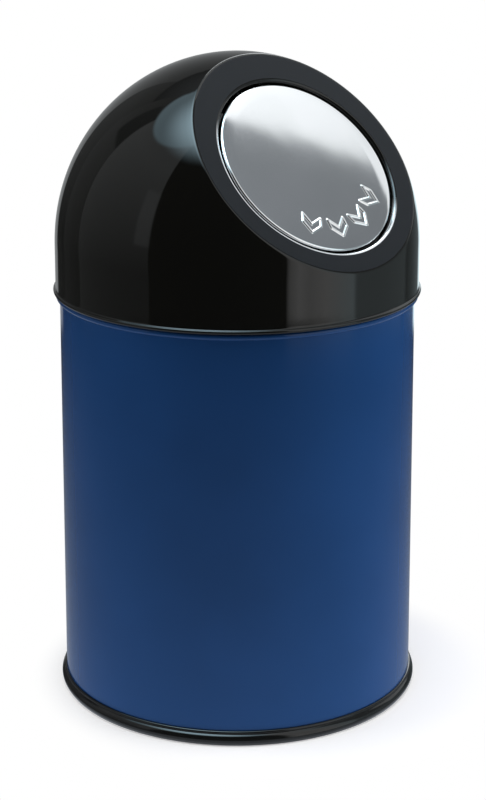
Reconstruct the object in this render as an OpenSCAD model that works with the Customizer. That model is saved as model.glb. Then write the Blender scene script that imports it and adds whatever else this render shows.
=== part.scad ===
// Push top countertop bin. A round can stands on a base ring and holds a loose inner bin with a bail.
// A domed lid lies on the can's rim. Its slanted flat face has a round hole, closed by a sprung flap
// that is hinged near its top edge and swings inward when its lower part is pushed.

/* [Can] */
// Outer diameter of the can's wall
can_d = 200; // [170:1:260]
// Height of the middle of the can's rim bead above the floor
can_rim_z = 229.4; // [190:0.1:320]
// Thickness of the can's sheet
can_sheet = 0.7; // [0.5:0.05:1.2]
// Radius of the rolled bead at the can's rim
can_bead_r = 1.55; // [1.2:0.05:2.2]
// Height of the underside of the can's floor
floor_z = 6; // [5:0.5:12]
// Height of the flange that holds the floor to the wall
floor_flange_h = 8; // [4:0.5:20]
// How far the middle of the floor is pressed up
floor_press = 1.6; // [0.8:0.1:3]

/* [Base ring] */
// How far the base ring stands out from the can's wall
ring_out = 2.7; // [2:0.1:5]
// Height of the base ring
ring_h = 8.2; // [7:0.1:16]
// Thickness of the base ring under the wall's lower edge
ring_foot = 2.2; // [1.5:0.1:4]
// Width of the base ring's foot inward of the wall
ring_in = 5; // [3:0.5:12]

/* [Inner bin] */
// Height of the inner bin's rim above the floor
bin_rim_z = 204.5; // [150:0.5:206]
// Space between the inner bin's wall and the can's wall at the rim
bin_gap = 4.9; // [4.5:0.1:9]
// How much smaller the inner bin's radius is at its foot
bin_taper = 2.4; // [0.5:0.1:8]
// Thickness of the inner bin's sheet
bin_sheet = 0.8; // [0.5:0.05:1.2]
// Radius of the rolled bead at the inner bin's rim
bin_bead_r = 1.3; // [1.1:0.05:1.6]
// Height of the inner bin's floor above its lower edge
bin_floor_up = 4; // [2:0.5:10]

/* [Bail] */
// Diameter of the bail's wire
bail_wire_d = 3.6; // [2.5:0.1:4]
// Diameter of the grip on the bail
grip_d = 7.6; // [6:0.1:8]
// Angle that the grip covers on the bail's bend
grip_sweep = 44; // [24:1:90]
// Length of each straight arm of the bail
bail_arm = 9; // [6:0.5:10]
// Width of each ear that carries the bail
ear_w = 18; // [14:0.5:24]
// Thickness of each ear
ear_t = 1.2; // [0.8:0.1:2]
// How far each ear reaches below the rim
ear_drop = 18; // [14:0.5:30]

/* [Lid] */
// How far the lid's wall stands out from the can's wall
lid_over = 2.4; // [2.2:0.1:4]
// Thickness of the lid's sheet
lid_sheet = 0.8; // [0.5:0.05:1.2]
// Radius of the rolled bead at the lid's lower edge
lid_bead_r = 1.1; // [0.95:0.05:1.6]
// Height of the lid's upright wall, from its bead to the start of the dome
lid_wall_h = 26; // [20:0.5:60]
// Rise of the dome above the upright wall
dome_rise = 106.4; // [95:0.2:120]
// Depth of the collar's skirt inside the can
collar_skirt = 14; // [8:0.5:14]
// Height of the collar above its flange
collar_up = 13; // [8:0.5:20]
// Thickness of the collar's sheet
collar_sheet = 0.7; // [0.5:0.05:1.2]

/* [Face and hole] */
// Tilt of the flat face from the horizontal
face_tilt = 48.2; // [42:0.1:60]
// Diameter of the hole, inside its turned-in lip
hole_d = 111.2; // [96:0.2:116]
// Radius of the bend from the flat face into the hole
lip_r = 2; // [1.6:0.1:4]
// Depth of the lip behind the flat face
lip_depth = 4.6; // [4:0.1:6]
// Width of the flat ring at the sides of the hole
face_ring_w = 11.9; // [8:0.1:14]
// How far the hole's middle lies below the middle of the flat face
hole_drop = 2.8; // [0:0.1:4]

/* [Flap] */
// Gap between the flap's edge and the hole
flap_gap = 2.4; // [2:0.1:4]
// How far the flap's edge lies behind the flat face
flap_recess = 1.2; // [1:0.1:4]
// Depth of the flap's turned-back rim
flap_rim = 5.4; // [3:0.1:6]
// Thickness of the flap's sheet
flap_sheet = 0.6; // [0.4:0.05:1]
// Radius of the bend at the flap's edge
flap_edge_r = 1.5; // [1:0.1:2]
// Width of the sloping margin inside the flap's edge
flap_margin = 5; // [3:0.5:6]
// How far the flap's middle stands above its edge
flap_crown = 0.6; // [0.4:0.1:1.4]
// Thickness of the plate behind the flap
back_sheet = 0.7; // [0.5:0.05:1.2]
// How far the back plate reaches behind the lip
back_over = 2.4; // [1.5:0.1:3]
// Diameter of each rubber buffer
buffer_d = 5; // [3.5:0.1:6]
// Bearings of the buffers around the hole, from the right-hand side
buffer_angles = [-90, -25, 205];

/* [Flap marks] */
// Bearing of the middle of the row of marks
mark_bearing = -80; // [-100:1:-80]
// Angle from one mark to the next
mark_pitch = 26; // [24:1:30]
// Distance of the marks' middle from the flap's middle
mark_ring_r = 39; // [34:0.5:40]
// Width of each mark
mark_w = 12; // [8:0.5:14]
// Height of each mark's arms
mark_arm = 6.6; // [4:0.2:7]
// Width of the pressed line around each mark
mark_line = 0.9; // [0.5:0.1:1.2]
// Height of the pressed line
mark_raise = 0.4; // [0.2:0.05:0.8]

/* [Hinge] */
// Distance of the hinge's axis below the flap's upper edge
hinge_inset = 8.1; // [6:0.1:10]
// Distance of the hinge's axis behind the flap's edge
hinge_depth = 10.8; // [9:0.1:12]
// Diameter of the hinge pin
pin_d = 4; // [3:0.1:4.4]
// Distance from the middle to the inner side of each bracket's arm
bracket_x = 14; // [12:0.5:16]
// Thickness of the hinge brackets and of the flap's hinge lugs
hinge_sheet = 1.2; // [0.8:0.1:1.6]
// Wall of each hinge bush
bush_wall = 1; // [0.6:0.1:1.2]
// Diameter of the spring's wire
spring_wire_d = 1.1; // [0.8:0.05:1.2]
// Number of turns of the spring
spring_turns = 10; // [6:1:12]

/* [Clearances] */
// Gap between parts that lie on each other and come apart
seat_gap = 0.3; // [0.2:0.05:0.5]
// Gap around a part that is pressed into another
snug = 0.05; // [0.03:0.01:0.1]
// Radial gap between the hinge pin and its bushes
pin_play = 0.05; // [0.03:0.01:0.1]
// Radial gap around the collar's skirt inside the can
collar_play = 0.6; // [0.4:0.05:1.2]
// Radial gap between the bail's wire and its ears
bail_play = 0.3; // [0.2:0.05:0.5]
// How far a rolled bead laps past the inner side of its wall
bead_lap = 0.1; // [0.05:0.01:0.2]

/* [Hidden] */

$fn = 96;
dome_steps = 20;            // straight steps along a quarter of the dome's outline
bend_steps = 6;             // straight steps along a small bend
ring_swell = 50;            // half the angle of the base ring's rounded side
margin_rise = 80;           // bearing at which the flap's edge bend meets its sloping margin
black_paint = [0.06, 0.06, 0.065];
blue_paint = [0.09, 0.17, 0.32];
stainless = [0.74, 0.75, 0.76];
zinc = [0.62, 0.64, 0.65];
rubber = [0.05, 0.05, 0.05];

// Can
can_r = can_d / 2;
can_in_r = can_r - can_sheet;
can_bead_c = can_in_r - bead_lap + can_bead_r;
can_mouth_r = can_in_r - bead_lap;
can_top_z = can_rim_z + can_bead_r;
floor_top_z = floor_z + can_sheet;

// Inner bin
bin_foot_z = floor_top_z + seat_gap;
bin_top_r = can_in_r - bin_gap;
bin_bead_z = bin_rim_z - bin_bead_r;
bin_floor_z = bin_foot_z + bin_floor_up;
function bin_r(z) = bin_top_r - bin_taper * (bin_bead_z - z) / (bin_bead_z - bin_foot_z);

// Bail and ears
bail_r = bail_wire_d / 2;
grip_r = grip_d / 2;
bail_z = bin_rim_z + grip_r + seat_gap;
bail_bend_r = bin_top_r - bin_sheet - bail_arm - seat_gap;
elbow_r = 4;
ear_foot_z = bin_rim_z - ear_drop;
ear_x = sqrt(pow(bin_r(ear_foot_z) - bin_sheet, 2) - pow(ear_w / 2, 2)) - snug;
ear_eye_r = bail_r + 3.4;
rivet_r = 1.5;
rivet_head_r = 2.5;
rivet_head_h = 1;
rivet_spread = ear_w / 2 - rivet_head_r - 1.4;
rivet_z = ear_foot_z + rivet_head_r + 1.5;

// Lid and collar
lid_r = can_r + lid_over;
lid_in_r = lid_r - lid_sheet;
flange_z = can_top_z + seat_gap;
lid_bead_z = flange_z + lid_bead_r + snug;
lid_bead_c = lid_in_r - bead_lap + lid_bead_r;
dome_z = lid_bead_z + lid_wall_h;
skirt_r = can_mouth_r - collar_play;

// Face: its half width sets how deep the plane cuts into the dome. The hole is placed from its middle.
hole_r = hole_d / 2;
bend_r = hole_r + lip_r;
face_half_w = bend_r + face_ring_w;
dome_reach = sqrt(pow(lid_r * sin(face_tilt), 2) + pow(dome_rise * cos(face_tilt), 2));
face_reach = dome_reach * sqrt(1 - pow(face_half_w / lid_r, 2));
face_mid = face_reach * sin(face_tilt) * cos(face_tilt)
           * (pow(dome_rise, 2) - pow(lid_r, 2)) / pow(dome_reach, 2);
hole_rise = face_mid - hole_drop;
face_y = -face_reach * sin(face_tilt) + hole_rise * cos(face_tilt);
face_z = dome_z + face_reach * cos(face_tilt) + hole_rise * sin(face_tilt);

// Flap and hinge, measured up the slope and outward from the face
flap_r = hole_r - flap_gap;
flap_back = flap_recess + flap_rim;
back_r = hole_r + back_over;
back_face = flap_back + back_sheet;
buffer_r = buffer_d / 2;
buffer_ring_r = bend_r + 0.5 + buffer_r;
pin_s = flap_r - hinge_inset;
pin_n = -flap_recess - hinge_depth;
pin_r = pin_d / 2;
bush_r = pin_r + pin_play + bush_wall;
bush_flange = 0.8;
lug_x = bracket_x + hinge_sheet + seat_gap + bush_flange;
lug_eye_r = bush_r + 1.9;
lug_w = 10;
lug_top_s = pin_s - hinge_sheet - 3;
lug_base_l = 14;
clip_x = lug_x + hinge_sheet + 2 * seat_gap;
clip_t = 1;
spring_wire_r = spring_wire_d / 2;
spring_coil_r = pin_r + spring_wire_r + 0.85;
spring_half_l = bracket_x - 5.5;
spring_flap_leg = 16;
pad_margin = 3.8;           // from each bracket's pad to the inside of the dome
spring_bend_r = 1.2;

// How far up the slope the inside of the dome lies, at x to the side and n outward of the face
function dome_inside_s(x, n) =
    let (ry = 1 / pow(lid_in_r, 2), rz = 1 / pow(dome_rise - lid_sheet, 2), d = face_reach + n,
         a = ry * pow(cos(face_tilt), 2) + rz * pow(sin(face_tilt), 2),
         b = 2 * d * sin(face_tilt) * cos(face_tilt) * (rz - ry),
         c = d * d * (ry * pow(sin(face_tilt), 2) + rz * pow(cos(face_tilt), 2)) + x * x * ry - 1)
    (-b + sqrt(b * b - 4 * a * c)) / (2 * a) - hole_rise;

// ---- shared shapes ----

// Points of a bend from one bearing to another
function arc(cx, cy, r, a0, a1, steps) =
    [for (i = [0:steps]) let (a = a0 + (a1 - a0) * i / steps) [cx + r * cos(a), cy + r * sin(a)]];

// A polygon's points moved inward by d, for points listed anticlockwise
function inset(p, d) =
    [for (i = [0:len(p) - 1])
        let (a = p[(i + len(p) - 1) % len(p)], b = p[i], c = p[(i + 1) % len(p)],
             u = (b - a) / norm(b - a), v = (c - b) / norm(c - b))
        b + d * (v - u) / (u.x * v.y - u.y * v.x)];

// Places what it holds on the flat face: x across, y up the slope, z outward
module on_face()
    translate([0, face_y, face_z]) rotate([face_tilt, 0, 0]) children();

// Turns an outline drawn with x up the slope and y outward, and gives it a thickness along x
module across(x0, t)
    translate([x0, 0, 0]) rotate([90, 0, 90]) linear_extrude(t) children();

// Both sides of the object
module both_sides() {
    children();
    mirror([1, 0, 0]) children();
}

module bead(c, z, r)
    rotate_extrude() translate([c, z]) circle(r = r, $fn = 32);

// A round wire through a list of points that all lie across the x axis
module wire(path, r, sides = 8) {
    last = len(path) - 1;
    function ring_at(i) =
        let (t = path[min(i + 1, last)] - path[max(i - 1, 0)],
             b = [1, 0, 0] - t * t.x / (t * t), e1 = b / norm(b), e2 = cross(t, e1) / norm(t))
        [for (k = [0:sides - 1]) path[i] + r * (cos(360 * k / sides) * e1 + sin(360 * k / sides) * e2)];
    points = [for (i = [0:last]) each ring_at(i)];
    faces = concat(
        [[for (k = [0:sides - 1]) k]],
        [for (i = [0:last - 1], k = [0:sides - 1])
            let (a = i * sides, b = a + sides, n = (k + 1) % sides) [a + k, b + k, b + n, a + n]],
        [[for (k = [sides - 1:-1:0]) last * sides + k]]);
    polyhedron(points, faces);
}

// ---- can ----

module body_shell()
    color(blue_paint) {
        rotate_extrude()
            polygon([[can_in_r, ring_foot + snug], [can_r, ring_foot + snug],
                     [can_r, can_rim_z], [can_in_r, can_rim_z]]);
        bead(can_bead_c, can_rim_z, can_bead_r);
    }

module body_bottom() {
    edge_r = can_in_r - snug;
    press_r = bin_r(bin_foot_z) - 14;
    color(zinc) rotate_extrude()
        polygon([[0, floor_z + floor_press], [press_r, floor_z + floor_press],
                 [press_r + 3, floor_z], [edge_r, floor_z],
                 [edge_r, floor_z + floor_flange_h], [edge_r - can_sheet, floor_z + floor_flange_h],
                 [edge_r - can_sheet, floor_top_z], [press_r + 3, floor_top_z],
                 [press_r, floor_top_z + floor_press], [0, floor_top_z + floor_press]]);
}

module base_ring() {
    out_r = can_r + ring_out;
    groove_out = can_r + snug;
    groove_in = can_in_r - snug;
    bulge = ring_h * 0.4;
    lip = 0.9;
    color(black_paint) rotate_extrude()
        polygon(concat(
            [[can_in_r - ring_in, 0], [out_r - 1.6, 0]],
            arc(out_r - bulge, bulge, bulge, -ring_swell, ring_swell, bend_steps),
            [[can_r + lip, ring_h - lip], [can_r + lip, ring_h], [groove_out, ring_h],
             [groove_out, ring_foot], [groove_in, ring_foot], [groove_in, floor_z],
             [groove_in - 1.2, floor_z], [groove_in - 1.2, ring_foot], [can_in_r - ring_in, ring_foot]]));
}

// ---- inner bin ----

// Puts what it holds at each rivet of the right-hand ear
module at_rivets()
    for (side = [-1, 1])
        translate([0, side * rivet_spread, rivet_z]) rotate([0, 90, 0]) children();

module inner_bin_shell()
    color(zinc) difference() {
        union() {
            rotate_extrude()
                polygon([[bin_r(bin_foot_z) - bin_sheet, bin_foot_z], [bin_r(bin_foot_z), bin_foot_z],
                         [bin_top_r, bin_bead_z], [bin_top_r - bin_sheet, bin_bead_z]]);
            bead(bin_top_r - bin_sheet - bead_lap + bin_bead_r, bin_bead_z, bin_bead_r);
        }
        both_sides() at_rivets() cylinder(r = rivet_r, h = can_r, $fn = 24);
    }

module inner_bin_bottom() {
    edge_r = bin_r(bin_foot_z) - bin_sheet - snug;
    color(zinc) rotate_extrude()
        polygon([[0, bin_floor_z], [edge_r - bin_sheet, bin_floor_z], [edge_r - bin_sheet, bin_foot_z],
                 [edge_r, bin_foot_z], [edge_r, bin_floor_z + bin_sheet], [0, bin_floor_z + bin_sheet]]);
}

module bail_ear()
    color(zinc) difference() {
        translate([ear_x - ear_t, 0, 0]) rotate([90, 0, 90]) linear_extrude(ear_t) {
            translate([-ear_w / 2, ear_foot_z]) square([ear_w, ear_drop - bin_bead_r - 1]);
            translate([-ear_eye_r, ear_foot_z + 1]) square([2 * ear_eye_r, bail_z - ear_foot_z - 1]);
            translate([0, bail_z]) circle(r = ear_eye_r, $fn = 48);
        }
        translate([0, 0, bail_z]) rotate([0, 90, 0]) cylinder(r = bail_r + bail_play, h = can_r, $fn = 48);
        at_rivets() cylinder(r = rivet_r, h = can_r, $fn = 24);
    }

module bail_ear_right() bail_ear();
module bail_ear_left() mirror([1, 0, 0]) bail_ear();

module ear_rivets()
    color(zinc) both_sides() at_rivets() {
        translate([0, 0, ear_x - ear_t - rivet_head_h])
            cylinder(r = rivet_head_r, h = rivet_head_h, $fn = 32);
        translate([0, 0, ear_x - ear_t - rivet_head_h / 2])
            cylinder(r = rivet_r, h = bin_top_r + rivet_head_h - ear_x + ear_t, $fn = 24);
        translate([0, 0, bin_top_r]) cylinder(r = rivet_head_r, h = rivet_head_h, $fn = 32);
    }

// ---- bail ----

module bail_wire() {
    stub_x = bail_bend_r + elbow_r;
    head_x = ear_x + seat_gap;
    color(zinc) translate([0, 0, bail_z]) {
        translate([0, bail_arm, 0])
            rotate_extrude(angle = 180) translate([bail_bend_r, 0]) circle(r = bail_r, $fn = 32);
        both_sides() {
            translate([bail_bend_r, bail_arm, 0]) rotate([90, 0, 0])
                cylinder(r = bail_r, h = bail_arm - elbow_r, $fn = 32);
            translate([stub_x, elbow_r, 0]) rotate([0, 0, 180])
                rotate_extrude(angle = 90) translate([elbow_r, 0]) circle(r = bail_r, $fn = 32);
            translate([stub_x, 0, 0]) rotate([0, 90, 0])
                cylinder(r = bail_r, h = head_x + 1 - stub_x, $fn = 32);
            translate([head_x, 0, 0]) rotate([0, 90, 0]) cylinder(r = bail_r + 1.2, h = 1.6, $fn = 32);
        }
    }
}

module bail_grip()
    color(black_paint) translate([0, bail_arm, bail_z]) rotate([0, 0, 90 - grip_sweep / 2])
        rotate_extrude(angle = grip_sweep) translate([bail_bend_r, 0]) difference() {
            circle(r = grip_r, $fn = 48);
            circle(r = bail_r, $fn = 32);
        }

// ---- lid ----

// Solid of the lid from height z0 up, cut flat at a distance below the face
module lid_form(r, rise, z0, below)
    difference() {
        rotate_extrude()
            polygon(concat([[0, z0], [r, z0]], arc_rise(r, rise), [[0, dome_z + rise]]));
        on_face() translate([-can_d, -can_d, -below]) cube([2 * can_d, 2 * can_d, can_d]);
    }

// The dome's outline from its foot to just before its top
function arc_rise(r, rise) =
    [for (i = [0:dome_steps - 1]) let (a = 90 * i / dome_steps) [r * cos(a), dome_z + rise * sin(a)]];

module lid_dome()
    color(black_paint) {
        difference() {
            lid_form(lid_r, dome_rise, lid_bead_z, 0);
            lid_form(lid_in_r, dome_rise - lid_sheet, lid_bead_z - 1, lid_sheet);
            on_face() translate([0, 0, -lid_sheet - 1]) cylinder(r = bend_r, h = lid_sheet + 2);
        }
        bead(lid_bead_c, lid_bead_z, lid_bead_r);
        on_face() rotate_extrude()
            polygon(concat(
                arc(bend_r, -lip_r, lip_r, 90, 180, bend_steps),
                [[hole_r, -lip_depth], [hole_r + lid_sheet, -lip_depth]],
                arc(bend_r, -lip_r, lip_r - lid_sheet, 180, 90, bend_steps)));
    }

module lid_collar() {
    jog_r = lid_in_r - bead_lap - seat_gap;
    jog_z = lid_bead_z + lid_bead_r + seat_gap;
    wall_r = lid_in_r - snug;
    top_z = flange_z + collar_up;
    t = collar_sheet;
    color(black_paint) rotate_extrude()
        polygon([[skirt_r - t, flange_z - collar_skirt], [skirt_r, flange_z - collar_skirt],
                 [skirt_r, flange_z], [jog_r, flange_z], [jog_r, jog_z], [wall_r, jog_z + t],
                 [wall_r, top_z], [wall_r - t, top_z], [wall_r - t, jog_z + t], [jog_r - t, jog_z],
                 [jog_r - t, flange_z + t], [skirt_r - t, flange_z + t]]);
}

// ---- hinge on the lid ----

module hinge_bracket() {
    eye_r = pin_r + 2.5;
    arm_s = bend_r - 0.8;
    pad_s = bend_r + 0.6;
    pad_end = dome_inside_s(bracket_x + hinge_sheet, -lid_sheet) - pad_margin;
    color(black_paint) on_face() difference() {
        union() {
            across(bracket_x, hinge_sheet) {
                translate([pin_s, pin_n]) circle(r = eye_r, $fn = 48);
                polygon([[pin_s + 1, pin_n + eye_r - 0.6], [arm_s, -lip_depth - 0.8], [arm_s, -lid_sheet],
                         [pad_end, -lid_sheet], [pad_end, -lip_depth - 1.4],
                         [pin_s + 2, pin_n - eye_r + 0.6]]);
            }
            translate([bracket_x - 10, pad_s, -lid_sheet - hinge_sheet])
                cube([10, pad_end - pad_s, hinge_sheet]);
        }
        translate([0, pin_s, pin_n]) rotate([0, 90, 0]) cylinder(r = pin_r, h = can_r, $fn = 48);
    }
}

module hinge_bracket_right() hinge_bracket();
module hinge_bracket_left() mirror([1, 0, 0]) hinge_bracket();

// Places what it holds along the hinge's axis, with z running across the object
module on_pin()
    on_face() translate([0, pin_s, pin_n]) rotate([0, 90, 0]) children();

module hinge_pin() {
    end_x = clip_x + clip_t + 0.5;
    color(stainless) on_pin() translate([0, 0, -end_x]) cylinder(r = pin_r, h = 2 * end_x, $fn = 48);
}

module pin_clips()
    color(zinc) both_sides() on_pin() translate([0, 0, clip_x])
        difference() {
            cylinder(r = pin_r + 2, h = clip_t, $fn = 48);
            translate([0, 0, -1]) cylinder(r = pin_r, h = clip_t + 2, $fn = 48);
        }

module flap_spring() {
    top_n = pin_n + spring_coil_r;
    flap_leg = [-spring_half_l, pin_s - spring_flap_leg, -back_face - spring_wire_r];
    lip_s = sqrt(pow(hole_r + lid_sheet / 2, 2) - pow(spring_half_l, 2));
    hook = [for (p = arc(lip_s - spring_bend_r, top_n + spring_bend_r, spring_bend_r, -90, 0, bend_steps))
        [spring_half_l, p.x, p.y]];
    a0 = 90 - atan((flap_leg.z - top_n) / spring_flap_leg);
    a1 = 90 - 360 * spring_turns;
    steps = 16 * spring_turns;
    coil = [for (i = [0:steps]) let (q = i / steps, a = a0 + (a1 - a0) * q)
        [spring_half_l * (2 * q - 1), pin_s + spring_coil_r * cos(a), pin_n + spring_coil_r * sin(a)]];
    color(stainless) on_face()
        wire(concat([flap_leg], coil, hook, [[spring_half_l, lip_s, -lip_depth - seat_gap]]), spring_wire_r);
}

// ---- flap ----

// Outline of the flap's sheet from the middle of one side to the end of its rim, moved in by t
function flap_outline(t) =
    concat([[0, flap_crown - t], [flap_r - flap_edge_r - flap_margin, flap_crown - t]],
           arc(flap_r - flap_edge_r, -flap_edge_r, flap_edge_r - t, margin_rise, 0, bend_steps),
           [[flap_r - t, -flap_rim]]);

// Chevron that points away from the flap's middle
function chevron() =
    let (w = mark_w / 2, a = mark_arm)
    [[0, -a], [w, w - a], [w, w], [0, 0], [-w, w], [-w, w - a]];

module flap_disc() {
    outer = flap_outline(0);
    inner = flap_outline(flap_sheet);
    rows = [for (i = [0:3]) mark_bearing + (i - 1.5) * mark_pitch];
    shape = chevron();
    hollow = inset(shape, mark_line);
    color(stainless) on_face() translate([0, 0, -flap_recess]) {
        rotate_extrude()
            polygon(concat(outer, [for (i = [len(inner) - 1:-1:0]) inner[i]]));
        for (a = rows) rotate([0, 0, a + 90]) translate([0, -mark_ring_r, flap_crown - flap_sheet / 2])
            linear_extrude(flap_sheet / 2 + mark_raise)
                difference() {
                    polygon(shape);
                    polygon(hollow);
                }
    }
}

// Puts what it holds at each rivet of both lugs, with z pointing outward
module at_lug_rivets()
    for (s = [0.28, 0.72])
        translate([lug_x + lug_w / 2 + hinge_sheet, lug_top_s - lug_base_l * s, 0]) children();

module flap_back_plate()
    color(black_paint) on_face() translate([0, 0, -back_face]) difference() {
        union() {
            cylinder(r = back_r, h = back_sheet);
            for (a = buffer_angles) rotate([0, 0, a]) {
                translate([0, -buffer_r - 0.8, 0])
                    cube([buffer_ring_r, buffer_d + 1.6, back_sheet]);
                translate([buffer_ring_r, 0, 0]) cylinder(r = buffer_r + 0.8, h = back_sheet, $fn = 48);
            }
        }
        translate([-can_d, lug_top_s + 2, -1]) cube([2 * can_d, can_d, back_sheet + 2]);
        both_sides() at_lug_rivets() translate([0, 0, -1])
            cylinder(r = rivet_r, h = back_sheet + 2, $fn = 24);
    }

module flap_lug()
    color(zinc) on_face() difference() {
        union() {
            across(lug_x, hinge_sheet) {
                translate([pin_s, pin_n]) circle(r = lug_eye_r, $fn = 48);
                polygon([[lug_top_s - lug_base_l, -back_face], [lug_top_s - lug_base_l, -back_face - 2],
                         [pin_s - 1, pin_n - lug_eye_r + 0.4], [pin_s, pin_n + lug_eye_r - 1],
                         [lug_top_s, -back_face]]);
            }
            translate([lug_x, lug_top_s - lug_base_l, -back_face - hinge_sheet])
                cube([lug_w, lug_base_l, hinge_sheet]);
        }
        translate([0, pin_s, pin_n]) rotate([0, 90, 0]) cylinder(r = bush_r, h = can_r, $fn = 48);
        at_lug_rivets() translate([0, 0, -can_r]) cylinder(r = rivet_r, h = can_r, $fn = 24);
    }

module flap_lug_right() flap_lug();
module flap_lug_left() mirror([1, 0, 0]) flap_lug();

module lug_rivets() {
    under = -back_face - hinge_sheet - rivet_head_h;
    color(zinc) on_face() both_sides() at_lug_rivets() {
        translate([0, 0, under]) cylinder(r = rivet_head_r, h = rivet_head_h, $fn = 32);
        translate([0, 0, under + rivet_head_h / 2])
            cylinder(r = rivet_r, h = rivet_head_h + hinge_sheet + back_sheet, $fn = 24);
        translate([0, 0, -flap_back]) cylinder(r = rivet_head_r, h = rivet_head_h, $fn = 32);
    }
}

module hinge_bushes()
    color(black_paint) both_sides() on_pin() translate([0, 0, lug_x]) difference() {
        union() {
            translate([0, 0, -bush_flange]) cylinder(r = bush_r + 1, h = bush_flange, $fn = 48);
            cylinder(r = bush_r, h = hinge_sheet + seat_gap, $fn = 48);
        }
        translate([0, 0, -2]) cylinder(r = pin_r + pin_play, h = hinge_sheet + 4, $fn = 48);
    }

module flap_buffers()
    color(rubber) on_face() for (a = buffer_angles) rotate([0, 0, a])
        translate([buffer_ring_r, 0, -flap_back])
            cylinder(r = buffer_r, h = flap_back - lid_sheet - seat_gap, $fn = 48);

body_shell();
body_bottom();
base_ring();
inner_bin_shell();
inner_bin_bottom();
bail_ear_left();
bail_ear_right();
ear_rivets();
bail_wire();
bail_grip();
lid_dome();
lid_collar();
hinge_bracket_left();
hinge_bracket_right();
hinge_pin();
pin_clips();
flap_spring();
flap_disc();
flap_back_plate();
flap_lug_left();
flap_lug_right();
lug_rivets();
hinge_bushes();
flap_buffers();
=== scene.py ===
import math
import bmesh
import bpy
from mathutils import Matrix, Vector


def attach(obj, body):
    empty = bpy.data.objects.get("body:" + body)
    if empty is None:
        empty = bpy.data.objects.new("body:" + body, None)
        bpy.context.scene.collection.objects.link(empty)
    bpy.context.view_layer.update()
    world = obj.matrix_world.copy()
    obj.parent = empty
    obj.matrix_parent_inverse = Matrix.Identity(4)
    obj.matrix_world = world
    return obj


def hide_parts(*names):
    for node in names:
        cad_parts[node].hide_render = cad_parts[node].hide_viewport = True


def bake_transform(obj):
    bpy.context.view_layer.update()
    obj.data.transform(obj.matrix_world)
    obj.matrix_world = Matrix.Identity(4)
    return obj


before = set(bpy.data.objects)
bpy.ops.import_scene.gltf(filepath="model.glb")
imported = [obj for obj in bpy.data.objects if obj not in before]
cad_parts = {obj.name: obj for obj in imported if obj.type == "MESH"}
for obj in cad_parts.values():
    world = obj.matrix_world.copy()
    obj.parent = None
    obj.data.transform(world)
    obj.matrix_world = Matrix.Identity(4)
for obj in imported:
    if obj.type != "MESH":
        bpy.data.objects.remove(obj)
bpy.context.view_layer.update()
scene = bpy.context.scene
scene.view_settings.view_transform = "Standard"
mm = 0.001
print("frame loaded")


# camera at the photograph's viewing angle
view = {"distance": 1.1709, "bearing": 42.37, "height": 0.5269, "heading": -42.53, "down": 12.487,
        "roll": -0.032, "lens": 96.06, "shiftY": -0.22}
cameraData = bpy.data.cameras.new("studioCamera")
cameraData.sensor_width = 36
cameraData.lens = view["lens"]
cameraData.shift_y = view["shiftY"]
cameraData.clip_start = 0.05
camera = bpy.data.objects.new("studioCamera", cameraData)
scene.collection.objects.link(camera)
turn = (Matrix.Rotation(math.radians(view["heading"]), 4, "Z")
        @ Matrix.Rotation(math.radians(90 - view["down"]), 4, "X")
        @ Matrix.Rotation(math.radians(view["roll"]), 4, "Z"))
sideways = math.radians(view["bearing"])
stand = Vector((-math.sin(sideways) * view["distance"], -math.cos(sideways) * view["distance"],
                view["height"]))
camera.matrix_world = Matrix.Translation(stand) @ turn
scene.camera = camera
print("camera placed")


# outlines are lists of (distance from the axis, height) in millimetres

def arcPoints(cx, cy, radius, start, end, steps):
    return [(cx + radius * math.cos(math.radians(start + (end - start) * i / steps)),
             cy + radius * math.sin(math.radians(start + (end - start) * i / steps)))
            for i in range(steps + 1)]


def softOutline(corners, closed=True, step=12):
    # each corner is (x, y) or (x, y, rounding)
    out, count = [], len(corners)
    for i, corner in enumerate(corners):
        point = Vector(corner[:2])
        rounding = corner[2] if len(corner) > 2 else 0
        if rounding <= 0 or (not closed and i in (0, count - 1)):
            out.append(tuple(point))
            continue
        before = Vector(corners[i - 1][:2]) - point
        after = Vector(corners[(i + 1) % count][:2]) - point
        u, v = before.normalized(), after.normalized()
        inside = math.acos(max(-1, min(1, u.dot(v))))
        if math.pi - inside < 0.01:
            out.append(tuple(point))
            continue
        reach = rounding / math.tan(inside / 2)
        limit = 0.48 * min(before.length, after.length)
        if reach > limit:
            rounding, reach = rounding * limit / reach, limit
        centre = point + (u + v).normalized() * rounding / math.sin(inside / 2)
        first, last = point + u * reach - centre, point + v * reach - centre
        sweep = first.angle_signed(last)
        parts = max(2, math.ceil(abs(math.degrees(sweep)) / step))
        start = math.atan2(first.y, first.x)
        for k in range(parts + 1):
            a = start - sweep * k / parts
            out.append((centre.x + rounding * math.cos(a), centre.y + rounding * math.sin(a)))
    return out


def supported(outline, closed=True, gap=0.18, longest=25):
    # extra points near the ends of straight runs keep the shading flat between them
    out, count = [], len(outline)
    for i in range(count if closed else count - 1):
        a, b = Vector(outline[i]), Vector(outline[(i + 1) % count])
        out.append(tuple(a))
        length = (b - a).length
        if length > 4 * gap:
            parts = max(1, math.ceil(length / longest))
            stops = [gap / length] + [k / parts for k in range(1, parts)] + [1 - gap / length]
            out += [tuple(a.lerp(b, t)) for t in stops]
    if not closed:
        out.append(tuple(outline[-1]))
    return out


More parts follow.
